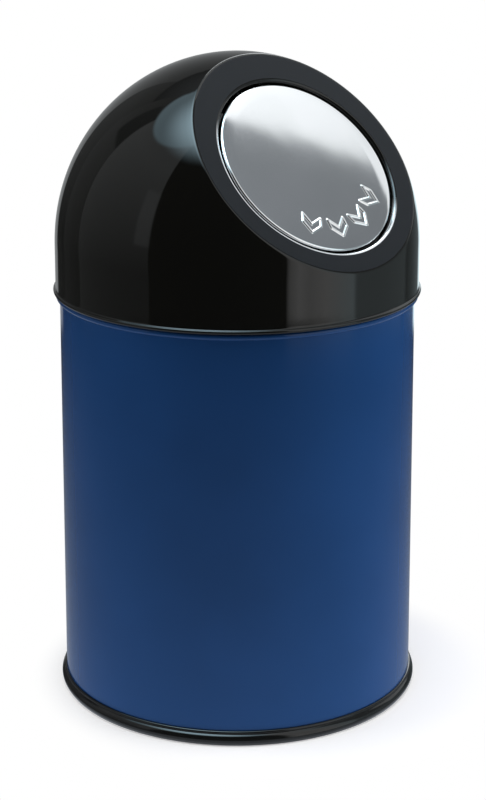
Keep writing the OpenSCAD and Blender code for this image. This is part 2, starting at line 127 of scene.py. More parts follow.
def spin(outline, closed=True, segments=180, warp=None, place=None):
    # turns an outline about the z axis
    points, faces, rings = [], [], []
    angles = [2 * math.pi * k / segments for k in range(segments)]
    for r, z in outline:
        if r < 1e-6:
            rings.append([len(points)])
            points.append(Vector((0, 0, z)))
            continue
        rings.append(list(range(len(points), len(points) + segments)))
        for a in angles:
            rr = r + (warp(r, z, a) if warp else 0)
            points.append(Vector((rr * math.cos(a), rr * math.sin(a), z)))
    for i in range(len(rings) if closed else len(rings) - 1):
        a, b = rings[i], rings[(i + 1) % len(rings)]
        for k in range(segments):
            n = (k + 1) % segments
            if len(a) == 1 and len(b) > 1:
                faces.append((a[0], b[n], b[k]))
            elif len(b) == 1 and len(a) > 1:
                faces.append((a[k], a[n], b[0]))
            elif len(a) > 1:
                faces.append((a[k], a[n], b[n], b[k]))
    if place:
        points = [place @ p for p in points]
    return points, faces


def seamRise(r, a, half, soft):
    # from 0 to 1 over a flat seam at the back of the object
    off = abs((a + math.pi / 2) % (2 * math.pi) - math.pi) * r
    rise = min(1, max(0, (half - off) / soft))
    return rise * rise * (3 - 2 * rise)


def joined(*parts):
    points, faces = [], []
    for somePoints, someFaces in parts:
        base = len(points)
        points += list(somePoints)
        faces += [tuple(base + k for k in f) for f in someFaces]
    return points, faces


def tube(path, radii, sides=16, across=Vector((1, 0, 0))):
    # a round wire along a list of points, with one radius for each point and closed ends
    points, faces, count = [], [], len(path)
    normal = None
    for i, p in enumerate(path):
        tangent = (path[min(i + 1, count - 1)] - path[max(i - 1, 0)]).normalized()
        if normal is None:
            normal = across if abs(across.dot(tangent)) < 0.9 else Vector((0, 0, 1))
        normal = (normal - tangent * normal.dot(tangent)).normalized()
        other = tangent.cross(normal)
        for k in range(sides):
            a = 2 * math.pi * k / sides
            points.append(p + (normal * math.cos(a) + other * math.sin(a)) * radii[i])
    for i in range(count - 1):
        for k in range(sides):
            n = (k + 1) % sides
            faces.append((i * sides + k, i * sides + n, (i + 1) * sides + n, (i + 1) * sides + k))
    faces.append(tuple(reversed(range(sides))))
    faces.append(tuple(range((count - 1) * sides, count * sides)))
    return points, faces


def makePiece(name, shape, material, body, slot, *nodes):
    points, faces = shape
    mesh = bpy.data.meshes.new(name)
    mesh.from_pydata([tuple(c * mm for c in p) for p in points], [], faces)
    work = bmesh.new()
    work.from_mesh(mesh)
    bmesh.ops.recalc_face_normals(work, faces=work.faces)
    for f in work.faces:
        f.smooth = True
    work.to_mesh(mesh)
    work.free()
    mesh.materials.append(material)
    piece = bpy.data.objects.new(name, mesh)
    scene.collection.objects.link(piece)
    if body:
        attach(piece, body)
    if nodes:
        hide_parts(*nodes)
    return piece


# node helpers

def feed(tree, socket, value):
    # a socket takes either a link or a plain value
    if isinstance(value, bpy.types.NodeSocket):
        tree.links.new(value, socket)
    else:
        socket.default_value = value


def addNode(tree, kind, inputs=None, **settings):
    node = tree.nodes.new(kind)
    for key, value in settings.items():
        setattr(node, key, value)
    for key, value in (inputs or {}).items():
        feed(tree, node.inputs[key], value)
    return node


def calc(tree, operation, a, b=0.0, c=0.0):
    return addNode(tree, "ShaderNodeMath", {0: a, 1: b, 2: c}, operation=operation).outputs[0]


def vectorCalc(tree, operation, inputs, output=0):
    return addNode(tree, "ShaderNodeVectorMath", inputs, operation=operation).outputs[output]


def remap(tree, value, low, high, toLow=0.0, toHigh=1.0, smooth=True):
    node = addNode(tree, "ShaderNodeMapRange", {"From Min": low, "From Max": high, "To Min": toLow,
                                                "To Max": toHigh, "Value": value},
                   interpolation_type="SMOOTHSTEP" if smooth else "LINEAR")
    return node.outputs[0]


def blendColour(tree, factor, a, b):
    # sockets 0, 6 and 7 are the factor and the two colours of a colour mix
    return addNode(tree, "ShaderNodeMix", {0: factor, 6: a, 7: b}, data_type="RGBA").outputs[2]


def addGlow(tree, strength):
    return addNode(tree, "ShaderNodeEmission", {"Color": (1, 1, 1, 1), "Strength": strength}).outputs[0]


def addShaders(tree, a, b):
    return addNode(tree, "ShaderNodeAddShader", {0: a, 1: b}).outputs[0]


def mixShaders(tree, factor, a, b):
    return addNode(tree, "ShaderNodeMixShader", {0: factor, 1: a, 2: b}).outputs[0]


def newGroup(name, inputs, outputs):
    tree = bpy.data.node_groups.new(name, "ShaderNodeTree")
    for label, kind, value in inputs:
        socket = tree.interface.new_socket(label, in_out="INPUT", socket_type="NodeSocket" + kind)
        socket.default_value = value
    for label, kind in outputs:
        tree.interface.new_socket(label, in_out="OUTPUT", socket_type="NodeSocket" + kind)
    return tree, tree.nodes.new("NodeGroupInput").outputs, tree.nodes.new("NodeGroupOutput").inputs


def useGroup(tree, group, inputs):
    return addNode(tree, "ShaderNodeGroup", inputs, node_tree=group).outputs


def srgb(r, g, b):
    def linear(c):
        c /= 255
        return c / 12.92 if c <= 0.04045 else ((c + 0.055) / 1.055) ** 2.4
    return (linear(r), linear(g), linear(b), 1)


# shared effects

# fine, even texture of a coat or a moulded face, with a height for a bump
grainGroup, gIn, gOut = newGroup("fineGrain", [("Scale", "Float", 900.0), ("Detail", "Float", 2.0),
                                               ("Low", "Float", 0.2), ("High", "Float", 0.3)],
                                 [("Value", "Float"), ("Height", "Float")])
place = addNode(grainGroup, "ShaderNodeTexCoord").outputs["Object"]
noise = addNode(grainGroup, "ShaderNodeTexNoise", {"Vector": place, "Scale": gIn["Scale"],
                                                   "Detail": gIn["Detail"], "Roughness": 0.55})
spread = calc(grainGroup, "SUBTRACT", gIn["High"], gIn["Low"])
level = remap(grainGroup, noise.outputs[0], 0.3, 0.7)
grainGroup.links.new(calc(grainGroup, "MULTIPLY_ADD", level, spread, gIn["Low"]), gOut["Value"])
grainGroup.links.new(noise.outputs[0], gOut["Height"])

# rubbed corners: a broken mask along convex edges
wearGroup, wIn, wOut = newGroup("edgeRub", [("Amount", "Float", 0.5), ("Scale", "Float", 120.0)],
                                [("Mask", "Float")])
place = addNode(wearGroup, "ShaderNodeTexCoord").outputs["Object"]
pointy = addNode(wearGroup, "ShaderNodeNewGeometry").outputs["Pointiness"]
breaks = addNode(wearGroup, "ShaderNodeTexNoise", {"Vector": place, "Scale": wIn["Scale"], "Detail": 3.0})
ridge = remap(wearGroup, pointy, 0.53, 0.6)
patchy = remap(wearGroup, breaks.outputs[0], 0.42, 0.62)
wearGroup.links.new(calc(wearGroup, "MULTIPLY", calc(wearGroup, "MULTIPLY", ridge, patchy), wIn["Amount"]),
                    wOut["Mask"])

# zinc flowers: flat crystals that differ in tone and gloss
zincGroup, zIn, zOut = newGroup("zincFlowers", [("Scale", "Float", 160.0)],
                                [("Tone", "Float"), ("Gloss", "Float")])
place = addNode(zincGroup, "ShaderNodeTexCoord").outputs["Object"]
waves = addNode(zincGroup, "ShaderNodeTexNoise", {"Vector": place, "Scale": 90.0}).outputs["Color"]
shift = vectorCalc(zincGroup, "MULTIPLY", {0: waves, 1: (0.004, 0.004, 0.004)})
moved = vectorCalc(zincGroup, "ADD", {0: place, 1: shift})
crystals = addNode(zincGroup, "ShaderNodeTexVoronoi", {"Vector": moved, "Scale": zIn["Scale"]})
parts = addNode(zincGroup, "ShaderNodeSeparateColor", {"Color": crystals.outputs["Color"]})
zincGroup.links.new(parts.outputs[0], zOut["Tone"])
zincGroup.links.new(parts.outputs[1], zOut["Gloss"])
print("shared effects made")


# materials

def newMaterial(name, look, metallic=0.0):
    material = bpy.data.materials.new(name)
    material.use_nodes = True
    tree = material.node_tree
    shader = tree.nodes["Principled BSDF"]
    shader.inputs["Base Color"].default_value = look["colour"]
    shader.inputs["Roughness"].default_value = sum(look["rough"]) / 2
    shader.inputs["Metallic"].default_value = metallic
    shader.inputs["Specular IOR Level"].default_value = look.get("gloss", 0.5)
    return material, tree, shader


def addGrain(tree, shader, look):
    # fine grain in the roughness, whose height is given back for a bump
    grain = useGroup(tree, grainGroup, {"Scale": look["grain"], "Detail": look.get("detail", 2.0),
                                        "Low": look["rough"][0], "High": look["rough"][1]})
    tree.links.new(grain["Value"], shader.inputs["Roughness"])
    return grain["Height"]


def addClouds(tree, shader, look):
    # soft clouds of a second tone, whose height is given back for a bump
    cloud = useGroup(tree, grainGroup, {"Scale": look["clouds"], "Detail": look["cloudDetail"],
                                        "Low": 0.0, "High": 1.0})
    tree.links.new(blendColour(tree, cloud["Value"], look["colour"], look["tone"]),
                   shader.inputs["Base Color"])
    return cloud["Height"]


def addBump(tree, shader, height, look):
    bump = addNode(tree, "ShaderNodeBump", {"Height": height, "Distance": look["depth"],
                                            "Strength": look["bump"]})
    tree.links.new(bump.outputs[0], shader.inputs["Normal"])


def grainedMaterial(name, look, metallic=0.0):
    material, tree, shader = newMaterial(name, look, metallic)
    addBump(tree, shader, addGrain(tree, shader, look), look)
    return material, tree, shader


# black stove enamel: mirror gloss on the dome, satin on the pressed flat face
enamelLook = {"colour": srgb(14, 14, 12), "grain": 260.0, "rough": (0.02, 0.035),
              "bump": 0.12, "depth": 0.00002}
blackEnamel = grainedMaterial("blackEnamel", enamelLook)[0]
faceLook = {"colour": srgb(11, 15, 20), "gloss": 0.32, "grain": 700.0, "rough": (0.3, 0.38),
            "bump": 0.3, "depth": 0.00002}
faceEnamel = grainedMaterial("faceEnamel", faceLook)[0]

# blue stove coat with a fine orange peel
coatLook = {"colour": srgb(20, 54, 98), "tone": srgb(22, 57, 103), "clouds": 14.0, "cloudDetail": 2.0,
            "gloss": 0.3, "grain": 1100.0, "rough": (0.07, 0.1), "bump": 0.35, "depth": 0.00001}
blueCoat, tree, shader = grainedMaterial("blueCoat", coatLook)
addClouds(tree, shader, coatLook)

# moulded black plastic, a little paler where its edges are rubbed
plasticLook = {"colour": srgb(14, 15, 15), "wearAndPaintedHighlight": srgb(44, 45, 46), "wear": 0.35, "grain": 1500.0,
               "rough": (0.08, 0.14), "bump": 0.3, "depth": 0.00001}
blackPlastic, tree, shader = grainedMaterial("blackPlastic", plasticLook)
rub = useGroup(tree, wearGroup, {"Amount": plasticLook["wear"]})
tree.links.new(blendColour(tree, rub["Mask"], plasticLook["colour"], plasticLook["wearAndPaintedHighlight"]),
               shader.inputs["Base Color"])

# polished stainless sheet with a faint pressed wave
steelLook = {"colour": (0.9, 0.9, 0.91, 1), "tone": (0.86, 0.865, 0.87, 1), "clouds": 32.0,
             "cloudDetail": 1.0, "grain": 2400.0, "rough": (0.035, 0.06), "bump": 0.06, "depth": 0.0004}
stainless, tree, shader = newMaterial("stainless", steelLook, 1.0)
addGrain(tree, shader, steelLook)
addBump(tree, shader, addClouds(tree, shader, steelLook), steelLook)


# galvanised sheet and wire share the crystals, at their own scale
def zincMaterial(name, look):
    material, tree, shader = newMaterial(name, look, 1.0)
    flowers = useGroup(tree, zincGroup, {"Scale": look["flowers"]})
    grain = useGroup(tree, grainGroup, {"Scale": look["grain"]})
    tree.links.new(blendColour(tree, flowers["Tone"], look["tone"], look["colour"]),
                   shader.inputs["Base Color"])
    tree.links.new(remap(tree, flowers["Gloss"], 0, 1, *look["rough"]), shader.inputs["Roughness"])
    addBump(tree, shader, grain["Height"], look)
    return material


zincSheet = zincMaterial("zincSheet", {"colour": srgb(186, 190, 193), "tone": srgb(150, 155, 158),
                                       "flowers": 150.0, "rough": (0.28, 0.48), "grain": 2000.0,
                                       "bump": 0.5, "depth": 0.00001})
zincWire = zincMaterial("zincWire", {"colour": srgb(184, 187, 190), "tone": srgb(160, 164, 167),
                                     "flowers": 500.0, "rough": (0.26, 0.4), "grain": 2000.0,
                                     "bump": 0.5, "depth": 0.00001})

springLook = {"colour": srgb(120, 122, 126), "grain": 3000.0, "rough": (0.22, 0.4),
              "bump": 0.4, "depth": 0.00001}
springSteel = grainedMaterial("springSteel", springLook, 1.0)[0]
rubberLook = {"colour": srgb(24, 24, 24), "grain": 1800.0, "detail": 4.0, "rough": (0.6, 0.85),
              "bump": 0.6, "depth": 0.00003}
bufferRubber = grainedMaterial("bufferRubber", rubberLook)[0]
print("materials made")


# can: coated wall with a rolled rim and a flat lock seam at the back
can = {"outer": 100.0, "inner": 99.3, "foot": 2.25, "rimZ": 229.4, "rimC": 100.75, "rimR": 1.55,
       "seamHalf": 3.1, "seamSoft": 1.2, "seamUp": 0.22}
rimJoin = math.degrees(math.acos((can["outer"] - can["rimC"]) / can["rimR"]))
rim = arcPoints(can["rimC"], can["rimZ"], can["rimR"], -rimJoin + 6, 200, 36)
wall = [(can["inner"], can["foot"], 0.2), (can["outer"], can["foot"], 0.2),
        (can["outer"], rim[0][1] - 0.35, 0.3)] + rim + [(can["inner"], rim[-1][1] - 0.3, 0.2)]


def canSeam(r, z, a):
    # the seam stands out on the wall's outer side only, and ends below the rim
    if r < can["outer"] - 0.05 or z > can["rimZ"] - 3:
        return 0
    return can["seamUp"] * seamRise(r, a, can["seamHalf"], can["seamSoft"])


makePiece("canWall", spin(supported(softOutline(wall)), segments=720, warp=canSeam), blueCoat, "can",
          "blue_coat", "body_shell")

# pressed floor: a raised middle, and a flange that stands against the wall
canFloor = {"edge": 99.25, "under": 6.0, "sheet": 0.7, "flange": 14.0, "press": 1.6, "pressR": 78.0,
            "slope": 3.0, "bend": 2.0}
edge, low, sheet, bend = canFloor["edge"], canFloor["under"], canFloor["sheet"], canFloor["bend"]
press, pressR, flange = canFloor["press"], canFloor["pressR"], canFloor["flange"]
slopeR, top = pressR + canFloor["slope"], low + sheet
floorLine = [(0, low + press), (pressR, low + press, bend), (slopeR, low, bend), (edge, low, 0.9),
             (edge, flange, 0.2), (edge - sheet, flange, 0.2), (edge - sheet, top, 0.9),
             (slopeR, top, bend), (pressR, top + press, bend), (0, top + press)]
makePiece("canFloor", spin(supported(softOutline(floorLine, False), False), False), zincSheet, "can",
          "zinc_sheet", "body_bottom")

# base ring: a rounded side under a small rolled lip, with a groove that holds the wall
ring = {"outer": 102.7, "inner": 94.3, "foot": 2.2, "swell": 3.3, "lipR": 100.45, "lip": 0.9,
        "height": 8.2, "play": 0.05, "lug": 1.2, "lugTop": 6.0}
foot, height, lugTop, swell = ring["foot"], ring["height"], ring["lugTop"], ring["swell"]
grooveOut, grooveIn = can["outer"] + ring["play"], can["inner"] - ring["play"]
lugIn = grooveIn - ring["lug"]
ringLine = ([(ring["inner"], 0, 0.4), (ring["outer"] - 1.5, 0, 0.6)]
            + arcPoints(ring["outer"] - swell, swell, swell, -48, 46, 12)
            + [(ring["lipR"] + 0.45, height - 1.85, 0.25)]
            + arcPoints(ring["lipR"], height - ring["lip"], ring["lip"], -50, 90, 10)
            + [(grooveOut, height, 0.1), (grooveOut, foot, 0.1), (grooveIn, foot, 0.1),
               (grooveIn, lugTop, 0.2), (lugIn, lugTop, 0.2), (lugIn, foot, 0.3), (ring["inner"], foot, 0.4)])
makePiece("baseRing", spin(supported(softOutline(ringLine)), segments=240), blackPlastic, "can",
          "black_plastic", "base_ring")
print("can made")


# inner bin: tapered galvanised shell with two swages and a rolled rim
innerBin = {"footZ": 7.0, "footR": 92.0, "topR": 94.4, "beadZ": 203.2, "sheet": 0.8, "beadR": 1.3,
            "swages": (30.0, 172.0), "swageW": 3.2, "swageUp": 1.1, "seamHalf": 3.4,
            "seamSoft": 0.8, "seamUp": 0.45}


def binRadius(z):
    rise = (z - innerBin["footZ"]) / (innerBin["beadZ"] - innerBin["footZ"])
    return innerBin["footR"] + (innerBin["topR"] - innerBin["footR"]) * rise


def swage(z):
    return sum(innerBin["swageUp"] * math.exp(-((z - s) / innerBin["swageW"] * 1.7) ** 2)
               for s in innerBin["swages"])


levels = [innerBin["footZ"] + 0.4, innerBin["footZ"] + 3, 60.0, 100.0, 150.0, innerBin["beadZ"] - 2.2]
for s in innerBin["swages"]:
    levels += [s + innerBin["swageW"] * (k / 8) * 1.3 for k in range(-8, 9)]
levels.sort()
outside = [(binRadius(z) + swage(z), z) for z in levels]
inside = [(binRadius(z) + swage(z) - innerBin["sheet"], z) for z in reversed(levels)]
beadC = innerBin["topR"] - innerBin["sheet"] - 0.1 + innerBin["beadR"]
footOut = binRadius(innerBin["footZ"])
binLine = ([(footOut - innerBin["sheet"], innerBin["footZ"], 0.2), (footOut, innerBin["footZ"], 0.2)]
           + outside + arcPoints(beadC, innerBin["beadZ"], innerBin["beadR"], -100, 195, 26) + inside)


def binSeam(r, z, a):
    if z > innerBin["beadZ"] - 2 or r < binRadius(z) + swage(z) - 0.1:
        return 0
    return innerBin["seamUp"] * seamRise(r, a, innerBin["seamHalf"], innerBin["seamSoft"])


makePiece("innerBinWall", spin(supported(softOutline(binLine), gap=0.1), segments=480, warp=binSeam),
          zincSheet, "inner_bin", "zinc_sheet", "inner_bin_shell")

# the bin's floor: a flat plate with one pressed groove and a turned-down hem
tray = {"edge": footOut - innerBin["sheet"] - 0.06, "top": 11.9, "sheet": 0.8, "sunk": 0.6,
        "groove": (60, 61, 64, 65), "hem": 7.0}
trayEdge, trayTop, trayLow = tray["edge"], tray["top"], tray["top"] - tray["sheet"]
ridge = [(r, tray["sunk"] if k in (1, 2) else 0) for k, r in enumerate(tray["groove"])]
trayLine = ([(0, trayTop)] + [(r, trayTop - sunk, 1) for r, sunk in ridge]
            + [(trayEdge - 4, trayTop - 0.1, 2), (trayEdge - 0.4, trayTop - 1.3, 0.6),
               (trayEdge, tray["hem"], 0.2), (trayEdge - tray["sheet"], tray["hem"], 0.2),
               (trayEdge - 1.2, trayLow - 1.1, 0.6), (trayEdge - 4.4, trayLow - 0.05, 2)]
            + [(r, trayLow - sunk, 1) for r, sunk in reversed(ridge)] + [(0, trayLow)])
makePiece("innerBinFloor", spin(supported(softOutline(trayLine, False), False, 0.1), False), zincSheet,
          "inner_bin", "zinc_sheet", "inner_bin_bottom")

# domed rivets on the bail's ears
ear = {"inner": 91.711, "outer": 94.4, "spread": 5.1, "rivetZ": 190.5}
rivet = {"shank": 1.5, "dome": ((0, 1), (1.1, 0.95), (2.0, 0.65), (2.5, 0.05, 0.1))}
rivetLine = ([(r, ear["inner"] - up, *soft) for r, up, *soft in rivet["dome"]]
             + [(rivet["shank"], ear["inner"], 0.1), (rivet["shank"], ear["outer"], 0.1)]
             + [(r, ear["outer"] + up, *soft) for r, up, *soft in reversed(rivet["dome"])])
rivets = []
for side in (-1, 1):
    turnOut = Matrix.Rotation(math.radians(90 * side), 4, "Y")
    for off in (-1, 1):
        spot = Matrix.Translation((0, off * ear["spread"], ear["rivetZ"]))
        rivets.append(spin(softOutline(rivetLine, False), False, 32, place=spot @ turnOut))
makePiece("earRivets", joined(*rivets), zincWire, "inner_bin", "zinc_sheet", "ear_rivets")

# bail: a wire with headed ends that lies on the rim, built as one half and mirrored
bail = {"wire": 1.8, "z": 208.6, "arm": 9.0, "bend": 84.3, "elbow": 4.0, "end": 93.2,
        "head": ((1.6, 2.4), (1.55, 2.9), (0.1, 3.0), (0, 2.8))}
stub = bail["bend"] + bail["elbow"]
half = [((bail["end"] + out, 0), radius) for out, radius in bail["head"]]
straight = [(bail["end"] - 0.05, 0), (stub + 0.4, 0)]
elbow = arcPoints(stub, bail["elbow"], bail["elbow"], 270, 180, 10)
bow = arcPoints(0, bail["arm"], bail["bend"], 0, 90, 64)
half += [(p, bail["wire"]) for p in straight + elbow + [(bail["bend"], bail["arm"] - 0.3)] + bow]
route = half + [((-x, y), w) for (x, y), w in reversed(half[:-1])]
makePiece("bailWire", tube([Vector((x, y, bail["z"])) for (x, y), w in route], [w for p, w in route], 20,
                           Vector((0, 0, 1))), zincWire, "bail", "zinc_wire", "bail_wire")

# ribbed grip: its outline is spun straight, then bent along the bail
grip = {"outer": 3.8, "shoulder": 2.6, "bore": 1.82, "sweep": 44.0, "grooves": 13, "pitch": 4.2,
        "groove": ((1.1, 0), (0.8, 0.25), (0.35, 0.55))}
gripHalf = math.radians(grip["sweep"] / 2) * bail["bend"]
gripLine = [(grip["bore"], -gripHalf + 0.1), (grip["shoulder"], -gripHalf, 0.2),
            (grip["outer"], -gripHalf + 0.9, 0.6)]
for k in range(grip["grooves"]):
    middle = (k - (grip["grooves"] - 1) / 2) * grip["pitch"]
    gripLine += [(grip["outer"] - deep, middle - off) for off, deep in grip["groove"]]
    gripLine += [(grip["outer"] - deep, middle + off) for off, deep in reversed(grip["groove"])]
gripLine += [(grip["outer"], gripHalf - 0.9, 0.6), (grip["shoulder"], gripHalf, 0.2),
             (grip["bore"], gripHalf - 0.1)]
points, faces = spin(supported(softOutline(gripLine)), segments=40)
bent = []
for p in points:
    a, out = p.z / bail["bend"], bail["bend"] + p.x
    bent.append(Vector((out * math.sin(a), bail["arm"] + out * math.cos(a), bail["z"] + p.y)))
makePiece("bailGrip", (bent, faces), blackPlastic, "bail", "black_plastic", "bail_grip")
print("inner bin and bail made")


# lid: the flat face's axes, x across, s up the slope and n outward
face = {"tilt": math.radians(48.2), "y": -56.9621, "z": 309.4977, "reach": 76.5221}
slopeAxis = Vector((0, math.cos(face["tilt"]), math.sin(face["tilt"])))
outAxis = Vector((0, -math.sin(face["tilt"]), math.cos(face["tilt"])))
faceMiddle = Vector((0, face["y"], face["z"]))


def onFace(x, s, n):
    return faceMiddle + Vector((x, 0, 0)) + slopeAxis * s + outAxis * n


lid = {"wall": 102.4, "rise": 106.4, "equator": 258.4, "sheet": 0.8, "hole": 55.2, "bend": 2.0,
       "lip": 4.6, "join": 236.0, "beadC": 102.6, "beadZ": 232.4, "beadR": 1.1, "crisp": 450,
       "meridians": 360, "domeRows": 66, "edgeRows": 22, "edgeSpan": 0.034}
# the point inside the dome from which the lid's surface is drawn
lidMiddle = faceMiddle - outAxis * face["reach"]


def domeReach(d, inward):
    # distance along d from the lid's middle to the dome, or to the upright wall below its equator
    a, b = lid["wall"] - inward, lid["rise"] - inward
    oz = lidMiddle.z - lid["equator"]
    flat = (d.x ** 2 + d.y ** 2) / a ** 2
    q, h = flat + (d.z / b) ** 2, lidMiddle.y * d.y / a ** 2
    c = (lidMiddle.y / a) ** 2 - 1
    h2, c2 = h + oz * d.z / b ** 2, c + (oz / b) ** 2
    dist = (-h2 + math.sqrt(h2 * h2 - q * c2)) / q
    if oz + dist * d.z < 0:
        dist = (-h + math.sqrt(h * h - flat * c)) / flat
    return dist


def lidSurface(theta, aside, inward):
    # the nearer of the flat face and the dome, rounded where they meet
    d = outAxis * math.cos(theta) + aside * math.sin(theta)
    dome = domeReach(d, inward)
    if math.cos(theta) > 0.05:
        plane = (face["reach"] - inward) / math.cos(theta)
        near, far = min(plane, dome), max(plane, dome)
        dome = near * (1 + (near / far) ** lid["crisp"]) ** (-1 / lid["crisp"])
    return lidMiddle + d * dome


def lidColumn(beta, inward):
    # points from the end of the lip's bend over the face's edge and the dome to the foot of the wall
    aside = Vector((math.cos(beta), 0, 0)) + slopeAxis * math.sin(beta)
    reach, a = face["reach"] - inward, lid["wall"] - inward
    # the angle at which the face meets the dome, found by halving
    edge, high = math.radians(34), math.radians(60)
    for k in range(40):
        middle = (edge + high) / 2
        d = outAxis * math.cos(middle) + aside * math.sin(middle)
        if reach / math.cos(middle) < domeReach(d, inward):
            edge = middle
        else:
            high = middle
    # the foot: u outward and v aside of the lid's middle, on the wall at the joining height
    k1, k2 = (lid["join"] - lidMiddle.z) / outAxis.z, -math.sin(beta) * slopeAxis.z / outAxis.z
    y0, y1 = lidMiddle.y + k1 * outAxis.y, k2 * outAxis.y + math.sin(beta) * slopeAxis.y
    qa, qb, qc = math.cos(beta) ** 2 + y1 * y1, y0 * y1, y0 * y0 - a * a
    v = (-qb + math.sqrt(qb * qb - qa * qc)) / qa
    end = math.atan2(v, k1 + k2 * v)
    start = math.atan2(lid["hole"] + lid["bend"], reach)
    span, edgeRows, domeRows = lid["edgeSpan"], lid["edgeRows"], lid["domeRows"]
    angles = [start, start + 0.0015]
    angles += [start + (edge - span - start) * k / 4 for k in range(1, 4)]
    angles += [edge - span + 2 * span * k / edgeRows for k in range(edgeRows + 1)]
    angles += [edge + span + (end - edge - span) * k / domeRows for k in range(1, domeRows + 1)]
    return [lidSurface(t, aside, inward) for t in angles]


hole, bend, sheet, lipEnd = lid["hole"], lid["bend"], lid["sheet"], -lid["lip"]
lipFront = [(hole + 0.1, lipEnd + 0.08), (hole, lipEnd + 0.3), (hole, -bend - 0.2)]
lipFront += arcPoints(hole + bend, -bend, bend, 180, 94, 12)
lipBack = arcPoints(hole + bend, -bend, bend - sheet, 94, 180, 8)
lipBack += [(hole + sheet, -bend - 0.2), (hole + sheet, lipEnd + 0.3), (hole + sheet - 0.1, lipEnd + 0.08),
            (hole + sheet / 2 + 0.1, lipEnd), (hole + sheet / 2 - 0.1, lipEnd)]
beadLine = [(lid["wall"], lid["beadZ"] + 2.2), (lid["wall"], lid["beadZ"] + 1.9),
            (lid["wall"] + 0.06, lid["beadZ"] + 1.55)]
beadLine += arcPoints(lid["beadC"], lid["beadZ"], lid["beadR"], 78, -170, 24)
beadLine += [(lid["wall"] - sheet, lid["beadZ"] + up) for up in (0.5, 0.8, 3.4)]
lidPoints = []
for i in range(lid["meridians"]):
    beta = 2 * math.pi * (i + 0.5) / lid["meridians"]
    outer = lidColumn(beta, 0)
    azimuth = math.atan2(outer[-1].y, outer[-1].x)
    column = [onFace(r * math.cos(beta), r * math.sin(beta), n) for r, n in lipFront] + outer
    column += [Vector((r * math.cos(azimuth), r * math.sin(azimuth), z)) for r, z in beadLine]
    column += reversed(lidColumn(beta, sheet))
    column += [onFace(r * math.cos(beta), r * math.sin(beta), n) for r, n in lipBack]
    lidPoints += column
columnLength = len(column)
lidFaces = []
for i in range(lid["meridians"]):
    a, b = i * columnLength, (i + 1) % lid["meridians"] * columnLength
    for k in range(columnLength):
        n = (k + 1) % columnLength
        lidFaces.append((a + k, b + k, b + n, a + n))

# the lip's bend has a painted highlight: it is painted bright and metallic along its lower left side
lipLook = {"colour": enamelLook["colour"], "bright": (0.8, 0.82, 0.84, 1), "rough": (0.12, 0.12),
           "bearing": 235, "span": (-0.1, 0.25)}
lipEnamel, tree, shader = newMaterial("lipEnamel", lipLook)
place = addNode(tree, "ShaderNodeTexCoord").outputs["Object"]
outward = vectorCalc(tree, "SUBTRACT", {0: place, 1: faceMiddle * mm})
outward = vectorCalc(tree, "NORMALIZE", {0: outward})
bearing = math.radians(lipLook["bearing"])
highlightSide = Vector((math.cos(bearing), 0, 0)) + slopeAxis * math.sin(bearing)
# painted highlight: a mask by bearing round the hole that makes one side of the lip bright and metallic
wearAndPaintedHighlight = remap(tree, vectorCalc(tree, "DOT_PRODUCT", {0: outward, 1: highlightSide}, "Value"), *lipLook["span"])
tree.links.new(blendColour(tree, wearAndPaintedHighlight, lipLook["colour"], lipLook["bright"]), shader.inputs["Base Color"])
tree.links.new(wearAndPaintedHighlight, shader.inputs["Metallic"])

lidPiece = makePiece("domedLid", (lidPoints, lidFaces), blackEnamel, "lid", "black_enamel", "lid_dome")
lidPiece.data.materials.append(faceEnamel)
lidPiece.data.materials.append(lipEnamel)
for polygon in lidPiece.data.polygons:
    off = Vector(polygon.center) / mm - faceMiddle
    n = off.dot(outAxis)
    if n > -0.02 and polygon.normal.dot(outAxis) > 0.999:
        polygon.material_index = 1
    elif n > -bend and (off - outAxis * n).length < hole + bend:
        polygon.material_index = 2

# collar: a joggled sheet inside the lid, which rests on the can's rim and centres the lid
collar = {"sheet": 0.7, "skirt": 98.6, "foot": 217.25, "seat": 231.25, "step": 101.2, "stepTop": 233.8,
          "wall": 101.55, "wallFoot": 234.5, "top": 244.25}
skirt, step, wall, seat = collar["skirt"], collar["step"], collar["wall"], collar["seat"]
sheet, foot, stepTop, wallFoot = collar["sheet"], collar["foot"], collar["stepTop"], collar["wallFoot"]
collarLine = [(skirt - sheet, foot, 0.2), (skirt, foot, 0.2), (skirt, seat, 0.7), (step, seat, 0.7),
              (step, stepTop, 0.3), (wall, wallFoot, 0.3), (wall, collar["top"], 0.2),
              (wall - sheet, collar["top"], 0.2), (wall - sheet, wallFoot, 0.3), (step - sheet, stepTop, 0.3),
              (step - sheet, seat + sheet, 0.3), (skirt - sheet, seat + sheet, 0.9)]
makePiece("lidCollar", spin(supported(softOutline(collarLine))), blackEnamel, "lid", "black_enamel",
          "lid_collar")
print("lid made")


# flap: a crowned stainless disc with a turned rim and four pressed chevrons
flap = {"edge": 53.6, "recess": 1.2, "rim": 5.4, "sheet": 0.6, "crown": 0.6, "bow": 0.00003,
        "marginR": 45.2, "bendR": 1.5, "slope": 0.03}
marks = {"bearing": -80, "pitch": 26, "count": 4, "ringR": 39.0, "half": 6.0, "arm": 6.6, "line": 0.9,
         "raise": 0.55, "width": 1.8, "reach": 10.5, "inner": 31, "outer": 47, "step": 0.3}
# the edge's bend starts at this angle and this radius
bendStart = 90 - math.degrees(math.atan(flap["slope"]))
bendFrom = flap["edge"] - flap["bendR"] + flap["bendR"] * math.cos(math.radians(bendStart))


def flapHeight(r):
    past = max(0, r - flap["marginR"])
    return flap["crown"] - past * past * flap["slope"] / 2 / (bendFrom - flap["marginR"])


def chevronSides():
    w, a, d = marks["half"], marks["arm"], marks["line"] / 2
    # the outline runs half a line inside the mark's edge
    k = d * math.sqrt(2)
    corners = [(0, -a + k), (w - d, w - a - d + k), (w - d, w - d - k), (0, -k),
               (-w + d, w - d - k), (-w + d, w - a - d + k)]
    return [(Vector(corners[i]), Vector(corners[(i + 1) % 6])) for i in range(6)]


sides = chevronSides()


